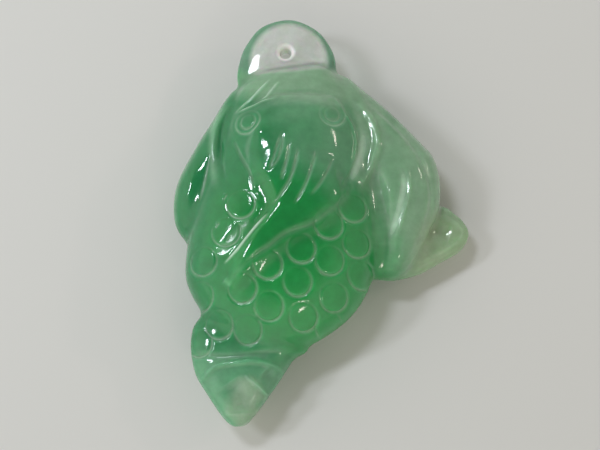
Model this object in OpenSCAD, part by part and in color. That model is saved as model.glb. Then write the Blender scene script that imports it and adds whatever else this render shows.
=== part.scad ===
// Goldfish pendant carved from one jade pebble, mouth towards +Y and back upwards.
// Each module is one carved region of the stone. A region is cut clear of the regions
// it meets, so they lie face to face and none of them overlaps another.
// Millimetres, +Z up, origin on the resting face under the middle of the stone.

/* [Trunk] */
// Width of the scaled trunk
trunk_w = 20.7; // [17:0.1:25]
// Length of the scaled trunk
trunk_l = 27.2; // [22:0.1:33]
// Level of the trunk's widest line above the resting face
trunk_waist = 4; // [3:0.1:5]
// Rise of the back above the widest line
trunk_rise = 7; // [5.5:0.1:8.5]
// Depth of the belly below the widest line, before the resting face is ground off
trunk_drop = 4.8; // [4.5:0.1:6]

/* [Head] */
// Width of the domed head
head_w = 13.3; // [11:0.1:16]
// Length of the domed head
head_l = 13.8; // [11.5:0.1:16.6]
// Level of the head's widest line above the resting face
head_waist = 5; // [4:0.1:6]
// Rise of the dome above its widest line
head_rise = 6.4; // [5:0.1:7.8]
// Depth of the head below its widest line
head_drop = 3.4; // [2.5:0.1:3.8]
// From the front of the trunk back to the front of the head
head_setback = 0.3; // [0:0.1:2]
// Radius of an eye's core
eye_r = 0.55; // [0.4:0.05:0.8]
// Width of the ring groove drilled round an eye
eye_ring = 0.4; // [0.2:0.05:0.6]

/* [Collar] */
// Width of the collar on each side of the head
collar_side = 1.6; // [1:0.1:2.4]
// Length of the collar in front of the head
collar_front_l = 4; // [3:0.1:5]
// Length of the collar behind the head
collar_back_l = 0.5; // [0.3:0.1:1.5]
// Level of the collar's widest line above the resting face
collar_waist = 4.6; // [3.8:0.1:5.5]
// Rise of the collar above its widest line
collar_rise = 4.8; // [4:0.1:5.8]
// Depth of the collar below its widest line
collar_drop = 3.8; // [3:0.1:4.2]

/* [Hanging tab] */
// Width of the hanging tab
tab_w = 10.7; // [9:0.1:13]
// Length of the hanging tab with its root
tab_l = 10; // [8.3:0.1:12]
// Thickness of the hanging tab
tab_t = 2.8; // [2:0.1:4]
// Length of the tab's root inside the collar
tab_root = 4.9; // [3.5:0.1:5.5]
// Diameter of the cord hole
hole_d = 1.2; // [0.8:0.1:2]
// From the tab's front edge to the middle of the cord hole
hole_inset = 4; // [2.5:0.1:4.2]

/* [Fins] */
// Width of the right pectoral fin with its root
right_fin_w = 12; // [10:0.1:14.4]
// Length of the right pectoral fin
right_fin_l = 22.2; // [18.5:0.1:26]
// How far the right pectoral fin stands out past the trunk
right_fin_reach = 6.4; // [5.3:0.1:7.7]
// From the front of the collar back to the front of the right pectoral fin
right_fin_setback = 1; // [0.5:0.1:2]
// Width of the left pectoral fin with its root
left_fin_w = 9.4; // [7.8:0.1:11.3]
// Length of the left pectoral fin
left_fin_l = 17.1; // [14.2:0.1:20.5]
// How far the left pectoral fin stands out past the trunk
left_fin_reach = 1.4; // [1:0.1:2.4]
// From the front of the collar back to the front of the left pectoral fin
left_fin_setback = 2.4; // [2.2:0.1:3.2]
// Width of the pelvic fin with its root
pelvic_w = 11.7; // [9.7:0.1:14]
// Length of the pelvic fin
pelvic_l = 8.1; // [6.7:0.1:9.7]
// How far the pelvic fin stands out past the right pectoral fin
pelvic_reach = 3.1; // [2:0.1:3.7]
// Width of the dorsal fin
dorsal_w = 12; // [10:0.1:14.4]
// Length of the dorsal fin
dorsal_l = 16.8; // [14:0.1:20]

/* [Tail] */
// Width of the tail
tail_w = 12; // [10:0.1:14.4]
// Length of the tail with its root
tail_l = 11.6; // [9.7:0.1:13.9]
// How far the tail stands out behind the trunk
tail_reach = 7.7; // [6:0.1:9]
// Radius of the curved ridge between the tail's root and its fin
ridge_r = 9; // [7.5:0.1:11]

/* [Scales] */
// Radius of a drilled scale ring
scale_r = 1.45; // [1.2:0.05:1.6]
// Width of a ring's groove
groove_w = 0.3; // [0.2:0.05:0.4]
// Depth of a ring's groove
groove_depth = 0.25; // [0.15:0.05:0.4]

/* [Hidden] */
$fn = 48;

// Outlines in half widths and half lengths, anticlockwise from the front, mouth towards +Y
TRUNK_RIM = [[0, 1], [-0.5, 0.78], [-0.85, 0.3], [-1, -0.25], [-0.95, -0.55], [-0.6, -0.88],
             [-0.1, -1], [0.35, -0.92], [0.8, -0.62], [1, -0.1], [0.9, 0.55], [0.6, 0.9]];
HEAD_RIM = [[0.1, 1], [-0.5, 0.92], [-0.9, 0.7], [-1, 0.3], [-0.75, -0.4], [-0.4, -0.9],
            [0.25, -1], [0.8, -0.5], [1, 0.2], [0.9, 0.7], [0.65, 0.95]];
COLLAR_RIM = [[0.25, 1], [-0.2, 0.96], [-0.5, 0.9], [-0.8, 0.7], [-1, 0.3], [-1, -0.2],
              [-0.6, -0.77], [0, -1], [0.5, -0.83], [0.85, -0.4], [1, 0.1], [0.85, 0.5], [0.55, 0.8]];
TAB_RIM = [[0.05, 1], [-0.5, 0.84], [-0.8, 0.47], [-0.95, 0.1], [-1, -0.4], [-0.75, -0.8],
           [0.05, -1], [0.85, -0.8], [1, -0.05], [0.85, 0.45], [0.55, 0.8]];
RIGHT_FIN_RIM = [[-0.75, 1], [-1, 0.87], [-0.85, 0.45], [-0.6, -0.25], [-0.25, -0.9], [0, -1], [0.3, -0.97],
                 [0.6, -0.77], [0.9, -0.45], [1, -0.15], [0.9, 0.15], [0.6, 0.35], [0.1, 0.63], [-0.35, 0.84]];
LEFT_FIN_RIM = [[0.45, 1], [-0.2, 0.5], [-0.57, 0.15], [-0.9, -0.22], [-1, -0.5], [-0.95, -0.77],
                [-0.75, -0.95], [-0.5, -1], [-0.05, -0.8], [0.6, -0.25], [1, 0.55]];
PELVIC_RIM = [[0.5, 1], [-0.15, 0.9], [-0.8, 0.25], [-1, -0.7], [-0.55, -1], [0, -0.88],
              [0.45, -0.55], [0.85, -0.2], [1, 0.2], [0.95, 0.5], [0.75, 0.8]];
DORSAL_RIM = [[-0.15, 0.96], [-0.45, 1], [-0.62, 0.74], [-0.58, 0.49], [-0.45, 0.2], [-0.38, -0.02],
              [-0.57, -0.27], [-1, -0.7], [-0.97, -1], [-0.38, -0.75], [0.1, -0.5], [0.62, -0.26],
              [1, 0.06], [0.88, 0.4], [0.63, 0.65], [0.2, 0.82]];
TAIL_RIM = [[-0.05, 1], [-0.8, 0.98], [-1, 0.6], [-0.93, 0], [-0.72, -0.4], [-0.35, -0.93],
            [-0.1, -1], [0.1, -0.85], [0.55, -0.2], [0.8, 0.2], [1, 0.4], [0.7, 0.75]];

RIM_STEPS = 3;    // points from one outline point to the next
RING_STEP = 15;   // degrees from one level of a pebble to the next
ABOVE = 20;       // clears the top of the stone

// Places, measured from the middle of the trunk
head_at = [1.2, trunk_l / 2 - head_setback - head_l / 2];
collar_w = head_w + 2 * collar_side;
collar_l = head_l + collar_front_l + collar_back_l;
collar_at = head_at + [0.5, (collar_front_l - collar_back_l) / 2];
collar_front = collar_at.y + collar_l / 2;
tab_at = [head_at.x - 0.9, collar_front - tab_root + tab_l / 2];
tab_front = tab_at.y + tab_l / 2;
tab_level = collar_waist;
hole_at = [tab_at.x - 0.1, tab_front - hole_inset];
right_fin_edge = trunk_w / 2 + right_fin_reach;
right_fin_at = [right_fin_edge - right_fin_w / 2, collar_front - right_fin_setback - right_fin_l / 2];
left_fin_edge = -trunk_w / 2 - left_fin_reach;
left_fin_at = [left_fin_edge + left_fin_w / 2, collar_front - left_fin_setback - left_fin_l / 2];
pelvic_edge = right_fin_edge + pelvic_reach;
pelvic_at = [pelvic_edge - pelvic_w / 2, right_fin_at.y - right_fin_l / 2 + pelvic_l / 2];
dorsal_at = head_at + [-0.65, -5.6];
tail_rear = -trunk_l / 2 - tail_reach;
tail_at = [-0.18 * trunk_w, tail_rear + tail_l / 2];
ridge_at = [tail_at.x, -trunk_l / 2 - 1.1 - ridge_r];
middle = [left_fin_edge + pelvic_edge, tab_front + tail_rear] / 2;

// A pebble: [middle, [width, length], outline, peak, widest level, rise, drop, fullness, slope].
// The peak is in half sizes from the middle. A fullness of 2 is an ellipsoid, and more is squarer.
AT = 0;
SIZE = 1;
RIM = 2;
PEAK = 3;
WAIST = 4;
RISE = 5;
DROP = 6;
FULL = 7;
SLOPE = 8;

TRUNK = [[0, 0], [trunk_w, trunk_l], TRUNK_RIM, [0, 0.05], trunk_waist, trunk_rise, trunk_drop, 2.2, [0, 0]];
HEAD = [head_at, [head_w, head_l], HEAD_RIM, [0, 0], head_waist, head_rise, head_drop, 2.4, [0, 0]];
COLLAR = [collar_at, [collar_w, collar_l], COLLAR_RIM, [0, 0], collar_waist, collar_rise, collar_drop,
          2.4, [0, 0]];
TAB = [tab_at, [tab_w, tab_l], TAB_RIM, [0, 0], tab_level, tab_t / 2, tab_t / 2, 4, [0, 0]];
RIGHT_FIN = [right_fin_at, [right_fin_w, right_fin_l], RIGHT_FIN_RIM, [0.15, 0], 3.8, 4.4, 2.9, 2.2, [0, 0]];
LEFT_FIN = [left_fin_at, [left_fin_w, left_fin_l], LEFT_FIN_RIM, [-0.2, -0.1], 3.7, 3.6, 2.6, 2.2, [0, 0]];
PELVIC = [pelvic_at, [pelvic_w, pelvic_l], PELVIC_RIM, [0, 0], 2.6, 1.7, 1.8, 2.2, [0, 0]];
DORSAL = [dorsal_at, [dorsal_w, dorsal_l], DORSAL_RIM, [-0.05, 0.05], head_waist + head_rise - 2.4, 3, 3,
          2.6, [0, 0.03]];
TAIL_ROOT = [tail_at, [tail_w, tail_l], TAIL_RIM, [0, 0.35], 3.6, 3.9, 2.6, 2.4, [0, 0]];
TAIL_FIN = [tail_at, [tail_w, tail_l], TAIL_RIM, [0, 0.1], 3.6, 2.4, 2.6, 2.4, [0, 0.06]];

// One point of a smooth curve from b to c, with a before it and d after it
function curve_point(a, b, c, d, t) =
    (2 * b + (c - a) * t + (2 * a - 5 * b + 4 * c - d) * t ^ 2 + (3 * b - a - 3 * c + d) * t ^ 3) / 2;

function smooth(rim) =
    let (n = len(rim))
    [for (i = [0:n - 1], k = [0:RIM_STEPS - 1])
        curve_point(rim[(i + n - 1) % n], rim[i], rim[(i + 1) % n], rim[(i + 2) % n], k / RIM_STEPS)];

// A smooth outline stretched to reach exactly half a width and half a length each way
function fitted(rim) =
    let (s = smooth(rim), xs = [for (p = s) p.x], ys = [for (p = s) p.y],
         mid = [max(xs) + min(xs), max(ys) + min(ys)] / 2,
         half = [max(xs) - min(xs), max(ys) - min(ys)] / 2)
    [for (p = s) [(p.x - mid.x) / half.x, (p.y - mid.y) / half.y]];

function outline(form) =
    [for (p = fitted(form[RIM])) form[AT] + [p.x * form[SIZE].x, p.y * form[SIZE].y] / 2];

function peak(form) =
    form[AT] + [form[PEAK].x * form[SIZE].x, form[PEAK].y * form[SIZE].y] / 2;

function lean(form, p) = form[SLOPE] * (p - form[AT]);

// Height of a pebble's upper face over the point p
function crown(form, p) =
    let (c = peak(form),
         polar = [for (q = outline(form), turn = [-360, 0, 360])
                     [atan2(q.y - c.y, q.x - c.x) + turn, norm(q - c)]],
         part = min(1, norm(p - c) / lookup(atan2(p.y - c.y, p.x - c.x), polar)))
    form[WAIST] + lean(form, p) + form[RISE] * (1 - part ^ form[FULL]) ^ (1 / form[FULL]);

// Where a pebble's upper face is, and which way it faces there
function crown_point(form, p) = [p.x, p.y, crown(form, p)];

function facing(form, p) =
    let (d = 0.3)
    [(crown(form, p - [d, 0]) - crown(form, p + [d, 0])) / (2 * d),
     (crown(form, p - [0, d]) - crown(form, p + [0, d])) / (2 * d), 1];

module pebble(form) {
    c = peak(form);
    rim = outline(form);
    n = len(rim);
    full = 2 / form[FULL];
    levels = [for (a = [-90 + RING_STEP:RING_STEP:90 - RING_STEP]) a];
    rings = [for (a = levels)
                let (s = cos(a) ^ full, h = sign(a) * abs(sin(a)) ^ full * (a > 0 ? form[RISE] : form[DROP]))
                for (q = rim)
                    let (p = c + s * (q - c))
                    [p.x, p.y, form[WAIST] + lean(form, p) + h]];
    bottom = [c.x, c.y, form[WAIST] + lean(form, c) - form[DROP]];
    top = [c.x, c.y, form[WAIST] + lean(form, c) + form[RISE]];
    last = len(rings);
    sides = [for (k = [0:len(levels) - 2], i = [0:n - 1])
                let (a = k * n + i, b = k * n + (i + 1) % n)
                for (face = [[a, a + n, b], [b, a + n, b + n]])
                    face];
    under = [for (i = [0:n - 1]) [last, i, (i + 1) % n]];
    over = [for (i = [0:n - 1]) [last + 1, last - n + (i + 1) % n, last - n + i]];
    polyhedron(concat(rings, [bottom, top]), concat(sides, under, over), convexity = 6);
}

// The column over a pebble's widest line, which keeps its neighbours from showing through it
module column(form) {
    translate([0, 0, form[WAIST]]) linear_extrude(ABOVE) polygon(outline(form));
}

module hood() {
    pebble(COLLAR);
    column(COLLAR);
}

// Turns its children to stand on a pebble's upper face at p
module standing_on(form, p) {
    n = facing(form, p);
    translate(crown_point(form, p)) rotate([0, acos(n.z / norm(n)), atan2(n.y, n.x)]) children();
}

module drilled_ring(form, p) {
    standing_on(form, p) difference() {
        cylinder(h = 2 * groove_depth, r = scale_r, center = true);
        cylinder(h = 3 * groove_depth, r = scale_r - groove_w, center = true);
    }
}

// A round-bottomed groove of the given depth, which starts over p, passes over q
// and is "runs" times as long as the way from p to q
module groove(form, p, q, r, depth, runs = 1) {
    a = crown_point(form, p);
    b = crown_point(form, q);
    run = b - a;
    translate(a + [0, 0, r - depth])
        rotate([0, acos(run.z / norm(run)), atan2(run.y, run.x)])
            cylinder(h = runs * norm(run), r = r);
}

// Scale rings stand in slanting rows that run back from the dorsal fin
module scale_rings() {
    first = [0.76, 0.06];
    along = [-3, -2.1];
    back = [0, -3.3];
    start = [first.x * trunk_w / 2, first.y * trunk_l / 2];
    for (row = [0:3], i = [0:4]) {
        p = start + i * along + row * back;
        inside = norm([p.x / trunk_w, p.y / trunk_l]) < 0.43;
        if (inside) drilled_ring(TRUNK, p);
    }
}

// An eye is a core left standing in a drilled ring, and its root reaches into the head
right_eye_at = head_at + [3.8, 4];
left_eye_at = head_at + [-4.6, 3];
EYE_ROOT = 1.5;

module eye_core(p) {
    intersection() {
        pebble(HEAD);
        translate([p.x, p.y, crown(HEAD, p) - EYE_ROOT]) cylinder(h = ABOVE, r = eye_r);
    }
}

module eye_socket(p) {
    translate([p.x, p.y, crown(HEAD, p) - EYE_ROOT]) cylinder(h = ABOVE, r = eye_r);
    standing_on(HEAD, p) cylinder(h = eye_ring, r = eye_r + eye_ring, center = true);
}

module centred() {
    translate([-middle.x, -middle.y, 0]) children();
}

module hanging_tab() {
    color([0.76, 0.82, 0.77, 0.6]) centred() difference() {
        pebble(TAB);
        pebble(COLLAR);
        translate([hole_at.x, hole_at.y, 0]) cylinder(h = ABOVE, d = hole_d);
    }
}

module collar() {
    color([0.45, 0.66, 0.52]) centred() difference() {
        pebble(COLLAR);
        pebble(HEAD);
        pebble(DORSAL);
    }
}

module head() {
    color([0.31, 0.6, 0.42]) centred() difference() {
        pebble(HEAD);
        pebble(DORSAL);
        eye_socket(left_eye_at);
        eye_socket(right_eye_at);
    }
}

module left_eye() {
    color([0.4, 0.66, 0.5]) centred() eye_core(left_eye_at);
}

module right_eye() {
    color([0.4, 0.66, 0.5]) centred() eye_core(right_eye_at);
}

module dorsal_fin() {
    rays = 5;
    ray_r = 0.4;
    ray_depth = 0.2;
    color([0.2, 0.55, 0.33]) centred() difference() {
        pebble(DORSAL);
        for (i = [0:rays - 1])
            groove(DORSAL, dorsal_at + [1.25 * i - 0.6, 7 - 0.7 * i], dorsal_at + [1.1 * i - 2.4, 3 - 0.5 * i],
                   ray_r, ray_depth);
    }
}

module trunk() {
    color([0.12, 0.52, 0.27]) centred() difference() {
        pebble(TRUNK);
        hood();
        pebble(DORSAL);
        scale_rings();
        translate([-trunk_w, -trunk_l, -ABOVE]) cube([2 * trunk_w, 2 * trunk_l, ABOVE]);
    }
}

module left_pectoral_fin() {
    color([0.27, 0.6, 0.43]) centred() difference() {
        pebble(LEFT_FIN);
        pebble(TRUNK);
        pebble(TAB);
        hood();
    }
}

module right_pectoral_fin() {
    color([0.5, 0.65, 0.54]) centred() difference() {
        pebble(RIGHT_FIN);
        pebble(TRUNK);
        pebble(TAB);
        hood();
    }
}

module right_pelvic_fin() {
    color([0.52, 0.68, 0.57]) centred() difference() {
        pebble(PELVIC);
        pebble(RIGHT_FIN);
        pebble(TRUNK);
    }
}

module ridge_disc() {
    translate([ridge_at.x, ridge_at.y, -ABOVE]) cylinder(h = 2 * ABOVE, r = ridge_r);
}

module tail_root() {
    color([0.24, 0.58, 0.37]) centred() difference() {
        pebble(TAIL_ROOT);
        pebble(TRUNK);
        pebble(DORSAL);
        ridge_disc();
    }
}

module tail_fin() {
    flute_r = 3;
    color([0.43, 0.66, 0.5]) centred() difference() {
        intersection() {
            pebble(TAIL_FIN);
            ridge_disc();
        }
        pebble(TRUNK);
        for (side = [-1, 1])
            groove(TAIL_FIN, tail_at + [1.7 * side, 0.4], tail_at + [side - 0.6, -2.4], flute_r, 0.4, 3);
    }
}

hanging_tab();
collar();
head();
left_eye();
right_eye();
dorsal_fin();
trunk();
left_pectoral_fin();
right_pectoral_fin();
right_pelvic_fin();
tail_root();
tail_fin();
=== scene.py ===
"""Goldfish pendant carved from one jade pebble, with its stage, camera and lights."""
import math

import bpy
import numpy as np
from bpy.props import FloatProperty, FloatVectorProperty, PointerProperty
from bpy.types import Operator, Panel, PropertyGroup
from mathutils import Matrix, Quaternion, Vector


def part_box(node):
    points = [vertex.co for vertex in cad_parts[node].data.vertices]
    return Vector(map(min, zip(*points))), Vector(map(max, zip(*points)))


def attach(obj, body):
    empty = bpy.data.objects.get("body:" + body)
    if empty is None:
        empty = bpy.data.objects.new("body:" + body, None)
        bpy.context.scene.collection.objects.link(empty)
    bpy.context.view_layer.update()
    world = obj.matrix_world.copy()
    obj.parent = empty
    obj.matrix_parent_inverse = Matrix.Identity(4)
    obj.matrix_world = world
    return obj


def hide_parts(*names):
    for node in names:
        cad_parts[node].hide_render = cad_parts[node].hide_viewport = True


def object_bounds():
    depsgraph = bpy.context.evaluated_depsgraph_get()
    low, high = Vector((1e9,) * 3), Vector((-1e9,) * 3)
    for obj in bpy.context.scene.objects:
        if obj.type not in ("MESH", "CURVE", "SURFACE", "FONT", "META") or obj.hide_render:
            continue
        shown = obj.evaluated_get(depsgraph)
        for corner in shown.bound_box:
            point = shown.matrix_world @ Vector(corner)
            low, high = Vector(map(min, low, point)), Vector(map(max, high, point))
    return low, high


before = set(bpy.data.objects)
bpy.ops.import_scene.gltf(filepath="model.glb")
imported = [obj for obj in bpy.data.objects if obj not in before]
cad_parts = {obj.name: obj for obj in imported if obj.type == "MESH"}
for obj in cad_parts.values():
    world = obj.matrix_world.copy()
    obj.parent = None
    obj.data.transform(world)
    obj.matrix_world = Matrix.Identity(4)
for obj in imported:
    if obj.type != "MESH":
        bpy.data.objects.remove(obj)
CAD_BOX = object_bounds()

bl_info = {
    "name": "Jade goldfish pendant",
    "version": (1, 0, 0),
    "blender": (4, 5, 0),
    "location": "3D View > Sidebar > Pendant",
    "description": "Carves a goldfish pendant from one jade pebble and lays it on a stage",
    "category": "Add Mesh",
}

MM = 0.001
NODES = sorted(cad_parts)

# Outlines of the stone's forms in half widths and half lengths, anticlockwise from the front
TRUNK_RIM = [(0, 1), (-0.5, 0.78), (-0.85, 0.3), (-1, -0.25), (-0.95, -0.55), (-0.6, -0.88),
             (-0.1, -1), (0.35, -0.92), (0.8, -0.62), (1, -0.1), (0.9, 0.55), (0.6, 0.9)]
HEAD_RIM = [(0.1, 1), (-0.5, 0.92), (-0.9, 0.7), (-1, 0.3), (-0.75, -0.4), (-0.4, -0.9),
            (0.25, -1), (0.8, -0.5), (1, 0.2), (0.9, 0.7), (0.65, 0.95)]
COLLAR_RIM = [(0.25, 1), (-0.2, 0.96), (-0.5, 0.9), (-0.8, 0.7), (-1, 0.3), (-1, -0.2), (-0.6, -0.77),
              (0, -1), (0.5, -0.83), (0.85, -0.4), (1, 0.1), (0.85, 0.5), (0.55, 0.8)]
TAB_RIM = [(0.05, 1), (-0.5, 0.84), (-0.8, 0.47), (-0.95, 0.1), (-1, -0.4), (-0.75, -0.8),
           (0.05, -1), (0.85, -0.8), (1, -0.05), (0.85, 0.45), (0.55, 0.8)]
RIGHT_FIN_RIM = [(-0.75, 1), (-1, 0.87), (-0.85, 0.45), (-0.6, -0.25), (-0.25, -0.9), (0, -1),
                 (0.3, -0.97), (0.6, -0.77), (0.9, -0.45), (1, -0.15), (0.9, 0.15), (0.6, 0.35),
                 (0.1, 0.63), (-0.35, 0.84)]
LEFT_FIN_RIM = [(0.45, 1), (-0.2, 0.5), (-0.57, 0.15), (-0.9, -0.22), (-1, -0.5), (-0.95, -0.77),
                (-0.75, -0.95), (-0.5, -1), (-0.05, -0.8), (0.6, -0.25), (1, 0.55)]
PELVIC_RIM = [(0.5, 1), (-0.15, 0.9), (-0.8, 0.25), (-1, -0.7), (-0.55, -1), (0, -0.88),
              (0.45, -0.55), (0.85, -0.2), (1, 0.2), (0.95, 0.5), (0.75, 0.8)]
DORSAL_RIM = [(-0.15, 0.96), (-0.45, 1), (-0.62, 0.74), (-0.58, 0.49), (-0.45, 0.2), (-0.38, -0.02),
              (-0.57, -0.27), (-1, -0.7), (-0.97, -1), (-0.38, -0.75), (0.1, -0.5), (0.62, -0.26),
              (1, 0.06), (0.88, 0.4), (0.63, 0.65), (0.2, 0.82)]
TAIL_RIM = [(-0.05, 1), (-0.8, 0.98), (-1, 0.6), (-0.93, 0), (-0.72, -0.4), (-0.35, -0.93),
            (-0.1, -1), (0.1, -0.85), (0.55, -0.2), (0.8, 0.2), (1, 0.4), (0.7, 0.75)]

# Tool marks on the stone's upper face: (name, half width, height above the face or depth below it,
# how unpolished it is, which on some marks also paints a pale highlight, points along it), in millimetres
# from the middle of the trunk's outline
STROKES = [
    ("dorsal crest", 0.9, 0.16, 0,
     [(-1.9, 9.4), (-2.3, 8.0), (-2.5, 6.6), (-2.4, 5.4), (-2.0, 4.2), (-1.6, 3.1)]),
    ("crest shoulder", 0.75, 0.28, 0,
     [(-2.1, 9.8), (-2.4, 8.6), (-3.1, 6.5), (-2.9, 4.4), (-2.3, 2.8)]),
    ("crest pocket", 0.14, -0.14, 0.5, [(-0.1, 8.2), (-0.6, 6.6), (-1.4, 4.2)]),
    ("first ray", 0.13, -0.14, 0.5, [(0.0, 8.1), (-0.1, 6.6), (-0.6, 5.2), (-1.4, 4.2)]),
    ("second ray", 0.14, -0.16, 0.6, [(0.7, 7.1), (0.4, 5.2), (-0.2, 3.2)]),
    ("third ray", 0.14, -0.16, 0.6, [(1.6, 6.6), (1.3, 5.0), (0.7, 3.2), (-0.3, 1.6), (-1.0, 0.8)]),
    ("fourth ray", 0.14, -0.14, 0.6, [(3.4, 6.3), (3.0, 4.7), (2.3, 2.7), (1.2, 0.8)]),
    ("fifth ray", 0.14, -0.12, 0.6, [(5.1, 5.6), (4.6, 4.3), (3.9, 3.0), (2.9, 1.7)]),
    # Its paleness is a painted highlight: a pale warm line along the ridge
    ("lower edge of the dorsal fin", 0.12, 0.14, 2.4,
     [(-1.6, -0.3), (-2.8, -1.6), (-3.7, -2.7), (-4.6, -3.8), (-5.8, -5.0)]),
    ("hollow beside the lower edge", 0.5, -0.1, 0.5,
     [(-3.5, -0.6), (-4.6, -1.9), (-5.6, -3.0), (-6.5, -4.1)]),
    ("border of the scales", 0.3, -0.13, 0.3,
     [(-5.5, -7.0), (-3.6, -5.1), (-1.3, -3.6), (0.4, -2.3), (3.0, -1.3), (4.6, -0.1), (6.3, 1.4),
      (7.0, 3.0)]),
    ("left gill", 0.2, -0.15, 0.3, [(-5.2, 7.9), (-4.3, 5.9), (-3.4, 4.2), (-3.0, 2.5)]),
    ("left edge of the hood", 0.3, -0.14, 0,
     [(-5.6, 12.0), (-6.2, 11.0), (-6.6, 9.5), (-6.6, 7.5), (-6.4, 5.4), (-5.9, 3.4)]),
    ("left roll of the hood", 0.4, 0.14, 0.6,
     [(-5.8, 12.4), (-7.0, 10.5), (-7.4, 8.4), (-7.3, 5.6), (-7.0, 3.2)]),
    ("left fin's ridge", 0.35, 0.05, 0, [(-9.1, 6.2), (-9.5, 4.8), (-9.8, 3.4), (-10.1, 1.6)]),
    ("left fin's groove", 0.16, -0.1, 0.6, [(-7.7, 6.6), (-8.0, 5.1), (-8.3, 3.6), (-8.7, 2.0)]),
    ("right edge of the head", 0.14, 0.14, 0,
     [(5.2, 12.6), (6.3, 10.9), (7.2, 9.3), (7.5, 7.6), (7.2, 5.8)]),
    ("right seam of the head", 0.2, -0.15, 0.3,
     [(5.7, 12.7), (6.7, 11.1), (7.6, 9.4), (7.9, 7.6), (7.6, 5.8), (6.9, 4.2), (6.0, 2.4)]),
    ("frosted hollow of the collar", 0.35, -0.12, 1.6,
     [(8.4, 8.9), (8.2, 7.0), (7.7, 5.3), (7.0, 3.6)]),
    ("right lip of the collar", 0.4, 0.36, 0,
     [(7.8, 12.2), (8.8, 10.9), (9.6, 9.1), (9.8, 7.6), (9.3, 5.9), (8.8, 4.6), (8.0, 3.3)]),
    ("front edge of the head", 0.3, -0.18, 0.2,
     [(-3.3, 11.8), (-2.2, 12.7), (0, 13.1), (2.5, 13.1), (5.0, 12.9)]),
    # These three lines are painted pale as well as raised: painted highlights
    ("left lip of the collar", 0.16, 0.16, 1, [(-4.9, 11.2), (-3.2, 12.7), (-1.5, 14.7)]),
    ("left fold of the collar", 0.15, 0.13, 0.9, [(-2.4, 12.2), (-1.4, 13.2), (-0.5, 14.4)]),
    ("left pleat of the collar", 0.15, 0.12, 0.9,
     [(-4.8, 11.1), (-3.3, 11.5), (-2.2, 12.0), (-1.0, 12.4)]),
    ("right fin's trough", 0.8, -0.5, 0,
     [(9.4, 5.2), (9.9, 2.9), (10.5, 0.3), (10.8, -2.7), (10.4, -5.0)]),
    ("right fin's frosted groove", 0.3, -0.1, 1.7,
     [(12.4, 4.8), (12.5, 3.4), (12.2, 1.7), (11.9, 0.5), (11.6, -0.5), (11.1, -2.0)]),
    ("right fin's crest", 0.18, 0.17, 0,
     [(12.9, 5.0), (13.1, 3.5), (13.0, 2.2), (12.6, 0.8), (12.2, -0.4), (11.7, -1.8)]),
    ("right fin's bevel", 0.35, -0.18, 0.5,
     [(8.6, 13.1), (10.7, 11.1), (12.8, 9.0), (14.5, 6.2), (15.3, 4.1), (15.5, 1.6), (14.7, -1.0),
      (13.5, -3.6), (12.2, -5.1)]),
    ("tail ridge", 0.28, 0.28, 0,
     [(-8.4, -16.6), (-7.6, -15.7), (-6.7, -15.1), (-4.4, -14.8), (-2.5, -14.7), (-1.0, -15.1),
      (0.2, -16.0)]),
    ("groove before the tail ridge", 0.3, -0.15, 0.3,
     [(-9.5, -13.9), (-6.3, -14.2), (-3.4, -14.0), (-0.8, -13.8), (0.7, -13.6)]),
    ("tail flute's ridge", 0.2, 0.25, 0, [(-3.8, -16.1), (-2.7, -17.1), (-1.4, -18.3)]),
    ("tail's left hollow", 1.3, -0.5, 0.15, [(-5.4, -16.8), (-4.4, -18.4), (-4.2, -20.0)]),
    ("tail's right hollow", 0.7, -0.35, 0, [(-1.9, -15.8), (-1.0, -16.8), (-0.6, -17.6)]),
    ("pelvic fin's hollow", 0.9, -0.35, 0.1, [(15.6, -0.4), (16.6, -0.9), (17.7, -1.3)]),
    ("pelvic fin's rim", 0.3, 0.14, 0.2,
     [(16.6, 1.0), (18.2, 0.2), (19.0, -0.9), (18.2, -2.0), (16.4, -3.2)]),
    # The nicks are painted pale: painted glints round the left ring
    ("upper left nick", 0.12, -0.14, 0.7, [(-6.1, 1.5), (-5.8, 2.1)]),
    ("lower left nick", 0.12, -0.14, 0.7, [(-6.9, -1.4), (-6.5, -0.8)]),
    ("lowest left nick", 0.12, -0.14, 0.7, [(-5.8, -2.8), (-5.4, -2.2)]),
    ("facet over the tail", 0.35, 0.2, 0.3, [(-5.9, -6.6), (-5.2, -7.3)]),
]

# Middles of the tube-drilled rings on the trunk and round the eyes, in the same measure
SCALES = [(7.2, 0.7), (4.7, -1.2), (1.9, -3.7), (-1.5, -5.3), (-4.1, -7.6),
          (7.6, -2.9), (4.8, -4.8), (1.5, -7.0), (-1.4, -9.4), (-3.6, -11.6),
          (8.1, -6.0), (5.2, -8.4), (2.1, -10.4), (-4.3, 0.9), (-5.8, -1.9),
          (-6.6, -11.0), (-8.6, -8.1), (-8.8, -12.8), (-8.2, -4.7), (4.8, -11.2)]
EYES = [(5.1, 10.5), (-3.7, 9.7)]

# How the forms and the tool marks are made
RIM_STEPS = 6         # points from one outline point to the next
MARK_STEPS = 5        # points from one point of a tool mark to the next
LEAST_STEEP = 0.03    # keeps the distance field finite at the middle of a form
UPWARD_FROM = 0.1     # upward part of the face's normal at which tool marks begin
UPWARD_SPAN = 0.4     # how much more of it makes them whole
RUN_OUT = 0.2         # share of a mark's length over which each of its ends runs out
RUN_OUT_CURVE = 0.7   # under 1, an end runs out late and blunt
END_SHARE = 0.15      # share of a mark's height that is left at its ends
MARK_EDGE = 2.5       # half widths from a mark's middle that are meshed finely
MARK_REACH = 4        # half widths from a mark's middle that it can touch
RING_MARGIN = 1       # millimetres round a ring that it can touch
RING_SWING = 0.45     # share of a ring's depth that comes and goes round it
RING_FROST_AND_GLINT = 1.1        # how unpolished and pale a ring is where it is deepest; the paleness is partly a painted glint
RING_FROST_AND_GLINT_CURVE = 1.6  # over 1, only the deepest part is unpolished, so the painted glints sit on the rings' lower right sides
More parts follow.
